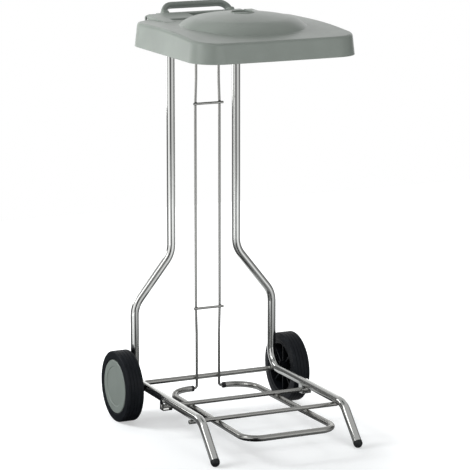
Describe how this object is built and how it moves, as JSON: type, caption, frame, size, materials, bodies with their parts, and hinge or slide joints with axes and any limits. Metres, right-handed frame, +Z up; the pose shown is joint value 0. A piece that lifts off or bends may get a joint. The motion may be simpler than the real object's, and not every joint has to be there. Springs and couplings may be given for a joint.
{
  "type": "bin bag holder",
  "caption": "Pedal-operated bin bag holder: a bent tube frame on wheels and front feet holds a bag under a hinged lid with a round dome; a push handle stands behind the lid.",
  "frame": {"origin": "centre of the bounding box at floor level", "axes": "+X to the right seen from the front, -Y towards the pedal, +Z up"},
  "size_m": [0.463, 0.547, 0.959],
  "materials": {
    "bright_steel": "satin drawn stainless tube and wire",
    "zinc_steel": "zinc plated",
    "grey_plastic": "fine-grained moulded plastic",
    "handle_plastic": "smooth moulded grip",
    "wheel_plastic": "moulded wheel",
    "black_plastic": "moulded end pieces",
    "tyre": "solid rubber tread"
  },
  "bodies": {
    "frame": {"side_tube_left": "bright_steel", "foot_ferrule_left": "black_plastic", "pivot_strap_left": "bright_steel", "ring_clip_left": "grey_plastic", "pin_cap_left": "zinc_steel", "axle_washer_left": "zinc_steel", "axle_retainer_left": "zinc_steel", "side_tube_right": "bright_steel", "foot_ferrule_right": "black_plastic", "pivot_strap_right": "bright_steel", "ring_clip_right": "grey_plastic", "pin_cap_right": "zinc_steel", "axle_washer_right": "zinc_steel", "axle_retainer_right": "zinc_steel", "axle": "bright_steel", "front_rod": "bright_steel", "head": "grey_plastic", "handle": "handle_plastic", "bag_ring": "bright_steel", "hinge_pin": "bright_steel"},
    "lid": {"lid": "grey_plastic"},
    "pedal": {"pedal_tube": "bright_steel", "pivot_rod": "bright_steel", "pedal_plug_left": "black_plastic", "pedal_plug_right": "black_plastic"},
    "lifter": {"lift_wire_left": "bright_steel", "lift_wire_right": "bright_steel", "spacer_upper": "bright_steel", "spacer_lower": "bright_steel", "push_block": "black_plastic"},
    "wheel_left": {"wheel_core_left": "wheel_plastic", "tyre_left": "tyre", "hub_cap_left": "grey_plastic"},
    "wheel_right": {"wheel_core_right": "wheel_plastic", "tyre_right": "tyre", "hub_cap_right": "grey_plastic"}
  },
  "joints": [
    {"name": "lid_hinge", "type": "hinge", "parent": "frame", "child": "lid", "pos_m": [0, 0.21152, 0.924], "axis": [-1, 0, 0], "range_deg": [0, 65]},
    {"name": "pedal_hinge", "type": "hinge", "parent": "frame", "child": "pedal", "pos_m": [0, 0.02403, 0.07057], "axis": [1, 0, 0], "range_deg": [0, 5.8]},
    {"name": "lifter_hinge", "type": "hinge", "parent": "pedal", "child": "lifter", "pos_m": [0, 0.18002, 0.05857], "axis": [1, 0, 0], "range_deg": [-5.8, 0]},
    {"name": "wheel_left_spin", "type": "hinge", "parent": "frame", "child": "wheel_left", "pos_m": [-0.2115, 0.19107, 0.0824], "axis": [1, 0, 0], "continuous": true},
    {"name": "wheel_right_spin", "type": "hinge", "parent": "frame", "child": "wheel_right", "pos_m": [0.2115, 0.19107, 0.0824], "axis": [1, 0, 0], "continuous": true}
  ],
  "couplings": [
    {"joint": "pedal_hinge", "follows": "lid_hinge", "ratio": 0.0892},
    {"joint": "lifter_hinge", "follows": "lid_hinge", "ratio": -0.0892}
  ]
}
